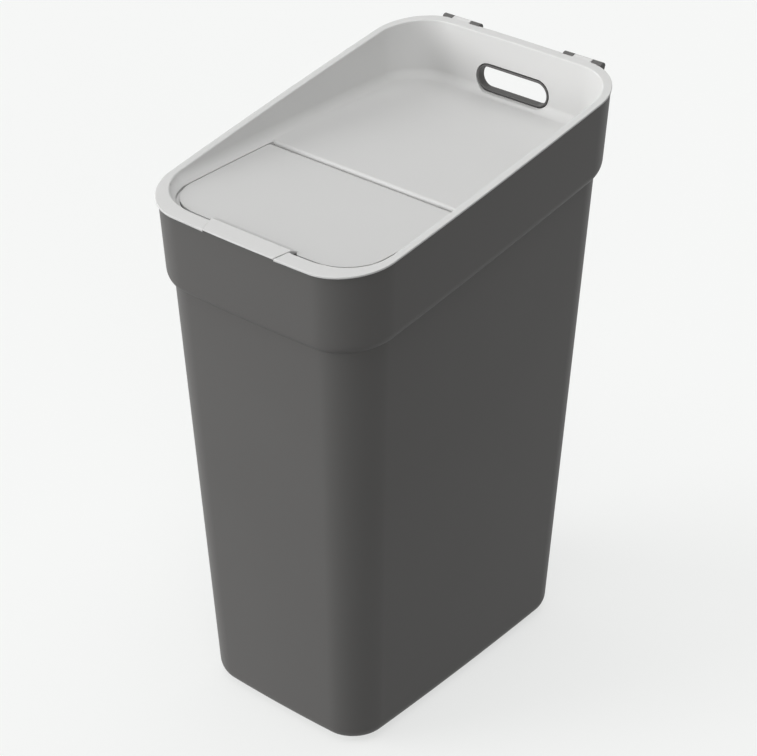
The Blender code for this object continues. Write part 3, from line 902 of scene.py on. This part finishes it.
class Flap(Moulding):
    """The flap: plate, rolled rear edge with its slots, rib, cheeks, stub pins and tab."""

    name = "flap_moulding"
    body = Body.FLAP
    slot = "light_grey_plastic"
    cheek = 0.002
    cheek_length = 0.016
    ramp_reach = 0.0008
    ramp_length = 0.008
    front_setback = 0.003
    relief_depth = 0.0035
    relief_width = 0.005
    relief_slant = 0.001
    root_inset = 0.0025
    ramp_power = 1.7
    ramp_shares = (0, 0.15, 0.3, 0.45, 0.6, 0.75, 0.9, 1)
    tab_rise = 0.0006
    tab_thickness = 0.0014
    side_gap = 0.0004
    roll_end = -70
    rib_inset = 0.007
    rib_width = 0.0016
    rib_depth = 0.0035
    bracket_gap = 0.0007
    bracket_slot = 0.0025
    edge_softness = 0.0003

    def blank(self) -> Solid:
        """Return the plate."""
        outline = flap_outline(0.0, -PLAN.flap_axis_place, self.front_setback)
        return prism(outline, PLAN.flap_under, PLAN.floor, Along.Z)

    def shape(self) -> None:
        """Add the rolled edge, the rib, the hinge and the tab."""
        axis = PLAN.flap_axis
        y, z = axis.yz
        roll, steps = PLAN.flap_roll, PLAN.round_steps // 2
        reach = PLAN.flap_half_width - self.side_gap
        section = arc((y, z), roll, 90, self.roll_end, steps)
        section += arc((y, z), roll - PLAN.flap_thickness, self.roll_end, 90, steps)
        section += [(y - OVERLAP, PLAN.flap_under), (y - OVERLAP, PLAN.floor)]
        self.join(prism(section, -reach, reach))
        rear = y - roll - self.rib_inset
        outside = flap_outline(-self.rib_inset, rear)
        inside = flap_outline(-self.rib_inset - self.rib_width, rear - self.rib_width)
        self.join(band(outside, inside, PLAN.flap_under - self.rib_depth,
                       PLAN.flap_under + PLAN.flap_thickness / 2))
        half = PLAN.bracket_thickness / 2 + self.bracket_gap
        inner, outer = PLAN.bracket_place - half, PLAN.bracket_place + half
        behind, high, ahead = y + self.bracket_slot, PLAN.floor + OVERRUN, y - PLAN.bracket_radius
        gap = [(behind, high), (y + OVERRUN, high), (y + OVERRUN, z - OVERRUN), (ahead, z - OVERRUN),
               (ahead, z), (behind, z)]
        for start, end in sides(inner, outer):
            self.cut(prism(gap, start, end))
        middle = PLAN.floor - PLAN.flap_thickness / 2
        front = y - self.cheek_length
        cheek = arc((y, z), roll - PLAN.flap_thickness / 2, -90, 90, steps) + [
            (front, middle), (front, PLAN.flap_under - PLAN.flap_thickness / 2)]
        for start, end in sides(inner - self.cheek, inner) + sides(outer, outer + self.cheek):
            self.join(prism(cheek, start, end))
        pin = PLAN.bracket_place - PLAN.bracket_thickness / 2 - PLAN.pin_gap
        for start, end in sides(pin, outer + self.cheek / 2):
            self.join(rod(axis, PLAN.flap_pin_radius, start, end))
        self.shape_tab()

    def shape_tab(self) -> None:
        """Cut the reliefs beside the tab's root, and add the tab with its hollow ramp."""
        near = PLAN.flap_front + self.root_inset
        half = PLAN.tab_half_width
        root_side = half + PLAN.tab_flare
        deep = self.front_setback + self.relief_depth - near
        far_side = root_side + self.relief_width
        relief = [(root_side - OVERLAP, deep), (root_side + self.relief_slant, deep),
                  (far_side, self.front_setback - near), (far_side, -near - OVERRUN),
                  (root_side - OVERLAP, -near - OVERRUN)]
        for side in (1, -1):
            outline = [(side * x, y) for x, y in relief]
            self.cut(prism(outline, PLAN.flap_under - OVERRUN, PLAN.floor + OVERRUN, Along.Z))
        far = -PLAN.flap_front - OVERRUN
        top = -PLAN.flap_front - self.ramp_reach
        foot = top + self.ramp_length
        middle = PLAN.floor - PLAN.flap_thickness / 2
        root = -near
        rise = WALL.rim_at(top) + self.tab_rise - PLAN.floor
        under = self.tab_rise - self.tab_thickness
        ramp = [(foot + (top - foot) * share, PLAN.floor + rise * share ** self.ramp_power)
                for share in self.ramp_shares]
        section = [(far, WALL.rim_at(far) + under), (root, WALL.rim_at(root) + under),
                   (root, middle), (foot + OVERLAP, middle)]
        solid = prism(section + ramp + [(far, WALL.rim_at(far) + self.tab_rise)], -half, half)
        self.join(self.trimmed(flared(solid)))

    def trimmed(self, tab: Solid) -> Solid:
        """Trim the tab to the flange's rounded outer edge.

        Args:
            tab: The tab, longer than it ends up.

        Returns:
            The trimmed tab.
        """
        thing = make_object("tab_blank", tab)
        edge = make_object("tab_edge", loft(rim_edge(OVERRUN, self.tab_rise)))
        combine(thing, edge, Work.KEEP)
        solid = bmesh.new()
        solid.from_mesh(evaluated(thing))
        for helper in (thing, edge):
            bpy.data.objects.remove(helper, do_unlink=True)
        return solid

    def softness(self, edge: bmesh.types.BMEdge) -> float:
        """Return the same fine rounding everywhere."""
        return self.edge_softness


def rim_edge(depth: float, rise: float = 0.0) -> list[Ring]:
    """Draw the flange's upright and rounded outer edge.

    Args:
        depth: How far below the rim plane it starts.
        rise: How far above the rim plane it ends. It leans back on the way.

    Returns:
        Its rings, from the lowest to the highest.
    """
    edge = PLAN.flange_edge
    curve = [(edge * (1 - sin(turn)), edge * (1 - cos(turn))) for turn in turns(PLAN.edge_steps)]
    out = PLAN.flange_out - rise * PLAN.tab_lean
    return [WALL.ring(WALL.rim_height + rise - drop, out - inset, WALL.rim_slope, PLAN.flange_setbacks)
            for drop, inset in [(depth, 0.0), *curve]]


def flap_outline(out: float, rear: float, front_setback: float = 0.0) -> list[Pair]:
    """Draw the flap's plan outline.

    Args:
        out: How far it is moved out.
        rear: Place of its straight rear edge along Y.
        front_setback: How far its front is set back from there.

    Returns:
        The points (x, y), from the rear left on.
    """
    radius = PLAN.flap_corner + out
    half = PLAN.flap_half_width + out
    front = PLAN.flap_front + out - front_setback
    corner = radius - front
    length = -PLAN.flap_axis_place - corner
    steps = WALL.side_steps

    def side_point(place: float, side: int) -> Pair:
        """Return a point on the flap's bowed side."""
        ahead = max(-PLAN.flap_axis_place - place, 0)
        return side * (half - PLAN.flap_taper * (ahead / length) ** 2), place

    def front_point(x: float, y: float, share: float) -> Pair:
        """Return a point on the flap's bowed front."""
        return x, y - PLAN.flap_bow * share * (1 - (x / half) ** 2)

    def front_corner(across: float, start: float) -> list[Pair]:
        """Return the points of a round front corner, where the bow fades in."""
        points = arc((across, corner), radius, start, start + 90, WALL.corner_steps)
        return [front_point(x, y, ((y - corner) / radius) ** 2) for x, y in points]

    places = [rear + (corner - rear) * step / steps for step in range(steps)]
    centre = half - PLAN.flap_taper - radius
    left = [side_point(place, -1) for place in places]
    right = [side_point(place, 1) for place in reversed(places)]
    middle = [front_point(centre * (2 * step / steps - 1), -front, 1) for step in range(1, steps)]
    return left + front_corner(-centre, 180) + middle + front_corner(centre, 270) + right


def linear(colour: str) -> tuple[float, float, float, float]:
    """Turn an sRGB colour into linear light, by the sRGB standard's curve.

    Args:
        colour: The colour as #RRGGBB.

    Returns:
        Linear red, green and blue, and alpha.
    """
    parts = [int(colour[i:i + 2], 16) / 255 for i in (1, 3, 5)]
    r, g, b = (part / 12.92 if part <= 0.04045 else ((part + 0.055) / 1.055) ** 2.4 for part in parts)
    return r, g, b, 1.0


def add_node(material: bpy.types.ID, kind: str, settings: dict[str, Any],
             links: dict[str | int, bpy.types.NodeSocket]) -> bpy.types.Node:
    """Add a shader node with its settings and links.

    Args:
        material: The material or world whose tree takes the node.
        kind: The node's type name.
        settings: Values for the node's sockets, or its attributes where it has no such socket.
        links: For each input socket, by name or number, the output socket that feeds it.

    Returns:
        The node.
    """
    tree = material.node_tree
    node = tree.nodes.new(kind)
    for name, value in settings.items():
        if name in node.inputs and not hasattr(node, name):
            node.inputs[name].default_value = value
        else:
            setattr(node, name, value)
    for name, socket in links.items():
        tree.links.new(socket, node.inputs[name])
    return node


@dataclass(frozen=True)
class MouldedPolypropylene:
    """Injection-moulded polypropylene with a fine spark-eroded grain.

    The grain breaks the gloss into a soft satin sheen. It is drawn at 0.6 mm, coarser than the
    real 0.1 mm, so that it shows at all. Slow flow marks change the colour by less than a tenth.
    The mirrored share is half of the usual one, because every reflection sees the pale background.
    """

    name: str
    colour: str
    flow_colour: str
    roughness: float
    grain_depth: float = 0.00002
    grain_size: float = 0.0006
    grain_strength: float = 0.35
    sheen_spread: float = 0.04
    flow_size: float = 0.12
    refraction: float = 1.49
    mirrored_share: float = 0.25

    def material(self) -> bpy.types.Material:
        """Build the material.

        Returns:
            The material with its nodes.
        """
        material = bpy.data.materials.new(self.name)
        material.use_nodes = True
        tree = material.node_tree
        tree.nodes.clear()
        place = add_node(material, "ShaderNodeTexCoord", {}, {}).outputs["Object"]
        flow = add_node(material, "ShaderNodeTexNoise", {"Scale": 1 / self.flow_size, "Detail": 3.0},
                        {"Vector": place}).outputs["Fac"]
        tint = add_node(material, "ShaderNodeMix", {"data_type": "RGBA"}, {})
        tree.links.new(flow, tint.inputs["Factor"])
        tint.inputs[6].default_value = linear(self.colour)
        tint.inputs[7].default_value = linear(self.flow_colour)
        grain = add_node(material, "ShaderNodeTexNoise", {"Scale": 1 / self.grain_size, "Roughness": 0.6},
                         {"Vector": place}).outputs["Fac"]
        relief = {"Strength": self.grain_strength, "Distance": self.grain_depth}
        bump = add_node(material, "ShaderNodeBump", relief, {"Height": grain})
        spread = {"To Min": self.roughness - self.sheen_spread, "To Max": self.roughness + self.sheen_spread}
        sheen = add_node(material, "ShaderNodeMapRange", spread, {"Value": grain})
        gloss = {"IOR": self.refraction, "Specular IOR Level": self.mirrored_share}
        shader = add_node(material, "ShaderNodeBsdfPrincipled", gloss,
                          {"Base Color": tint.outputs[2], "Roughness": sheen.outputs["Result"],
                           "Normal": bump.outputs["Normal"]})
        add_node(material, "ShaderNodeOutputMaterial", {}, {"Surface": shader.outputs["BSDF"]})
        return material


DARK = MouldedPolypropylene("polypropylene_anthracite_moulded", "#5A5958", "#565554", 0.5)
LIGHT = MouldedPolypropylene("polypropylene_pearl_grey_moulded", "#CACAC9", "#C6C6C5", 0.45)


@dataclass(frozen=True)
class Lamp:
    """One wide, far studio light.

    The turn is measured from the front, positive to the right, and the lift from the floor. They
    and the width, which the light seems to have in the sky, are in degrees.
    """

    name: str
    turn: float
    lift: float
    strength: float
    width: float

    def hang(self) -> None:
        """Add the light to the scene."""
        lamp = bpy.data.lights.new(self.name, "SUN")
        lamp.energy = self.strength
        lamp.angle = radians(self.width)
        thing = add_object(self.name, lamp)
        thing.rotation_euler = (radians(90 - self.lift), 0, radians(self.turn))


LAMPS = (
    Lamp("front_left_softbox", -45, 12, 2.9, 40),
    Lamp("front_right_softbox", 45, 12, 1.2, 40),
    Lamp("left_softbox", -90, 12, 0.6, 40),
    Lamp("top_front_softbox", 0, 75, 0.96, 50),
    Lamp("top_rear_softbox", 180, 75, 0.88, 50),
)


@dataclass(frozen=True)
class Studio:
    """The plain floor, the soft light and the camera.

    The eye and every reflection see the plain background. Only a share of it on the floor is lit
    paper, which keeps a faint shadow of the bin. The light that the floor throws back on the bin
    is that of a darker paper, so that the lamps alone set the shading. The camera stands upright,
    turned from the front to the right and lifted, in degrees, as the photograph asks.
    """

    background: str = "#F6F7F6"
    bounce_colour: str = "#595959"
    shadow_share: float = 0.3
    floor_size: float = 30.0
    room_colour: str = "#FFFFFF"
    room_strength: float = 0.12
    camera_place: tuple[float, float, float] = (1.13277, -1.34977, 1.34690)
    camera_turn: float = 40.282
    camera_lift: float = 31.1352
    focal_length: float = 110.68
    sensor_width: float = 36.0

    @staticmethod
    def sight(material: bpy.types.ID) -> bpy.types.NodeSocket:
        """Part the rays that look from the rays that light.

        Args:
            material: The material or world whose tree takes the nodes.

        Returns:
            A socket that is 1 for the camera, reflections and clear parts, and 0 for lighting.
        """
        path = add_node(material, "ShaderNodeLightPath", {}, {})
        seen = add_node(material, "ShaderNodeMath", {"operation": "MAXIMUM"},
                        {0: path.outputs["Is Camera Ray"], 1: path.outputs["Is Glossy Ray"]})
        return add_node(material, "ShaderNodeMath", {"operation": "MAXIMUM"},
                        {0: seen.outputs[0], 1: path.outputs["Is Transmission Ray"]}).outputs[0]

    def build_floor(self) -> None:
        """Lay the pale floor, which shows the plain background with the bin's faint shadow."""
        mesh = bpy.data.meshes.new("studio_floor")
        half = self.floor_size / 2
        mesh.from_pydata([(-half, -half, 0), (half, -half, 0), (half, half, 0), (-half, half, 0)], [],
                         [(0, 1, 2, 3)])
        floor = add_object("studio_floor", mesh)
        material = bpy.data.materials.new("matt_paper_white")
        material.use_nodes = True
        material.node_tree.nodes.clear()
        pale = {"Color": linear(self.background)}
        plain = add_node(material, "ShaderNodeEmission", pale, {})
        paper = add_node(material, "ShaderNodeBsdfDiffuse", pale, {})
        shown = add_node(material, "ShaderNodeMixShader", {"Fac": self.shadow_share},
                         {1: plain.outputs[0], 2: paper.outputs[0]})
        bounce = add_node(material, "ShaderNodeBsdfDiffuse", {"Color": linear(self.bounce_colour)}, {})
        surface = add_node(material, "ShaderNodeMixShader", {},
                           {"Fac": self.sight(material), 1: bounce.outputs[0], 2: shown.outputs[0]})
        add_node(material, "ShaderNodeOutputMaterial", {}, {"Surface": surface.outputs[0]})
        mesh.materials.append(material)

    def build_world(self) -> None:
        """Show the plain background all round, and fill the shadows with a little light from there."""
        world = bpy.data.worlds.new("studio_room")
        world.use_nodes = True
        world.node_tree.nodes.clear()
        lit = {"Color": linear(self.room_colour), "Strength": self.room_strength}
        room = add_node(world, "ShaderNodeBackground", lit, {})
        plain = add_node(world, "ShaderNodeBackground", {"Color": linear(self.background)}, {})
        shown = add_node(world, "ShaderNodeMixShader", {},
                         {"Fac": self.sight(world), 1: room.outputs[0], 2: plain.outputs[0]})
        add_node(world, "ShaderNodeOutputWorld", {}, {"Surface": shown.outputs[0]})
        bpy.context.scene.world = world

    def build_camera(self) -> None:
        """Set the camera at the photograph's viewing angle."""
        lens = bpy.data.cameras.new("camera")
        lens.sensor_fit = "HORIZONTAL"
        lens.sensor_width = self.sensor_width
        lens.lens = self.focal_length
        lens.clip_end = 2 * self.floor_size
        camera = add_object("camera", lens)
        aim = Euler((radians(90 - self.camera_lift), 0, radians(self.camera_turn)))
        camera.matrix_world = Matrix.Translation(self.camera_place) @ aim.to_matrix().to_4x4()
        bpy.context.scene.camera = camera

    def build(self) -> None:
        """Set up everything round the bin."""
        self.build_floor()
        self.build_world()
        for lamp in LAMPS:
            lamp.hang()
        self.build_camera()
        bpy.context.scene.view_settings.view_transform = "Standard"


def main() -> None:
    """Build the studio and the three mouldings."""
    logging.basicConfig(level=logging.INFO, format="%(message)s")
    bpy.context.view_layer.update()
    Studio().build()
    log.info("studio: floor, room, lights and camera")
    Tub(DARK.material())
    light = LIGHT.material()
    Lid(light)
    Flap(light)


if __name__ == "__main__":
    main()
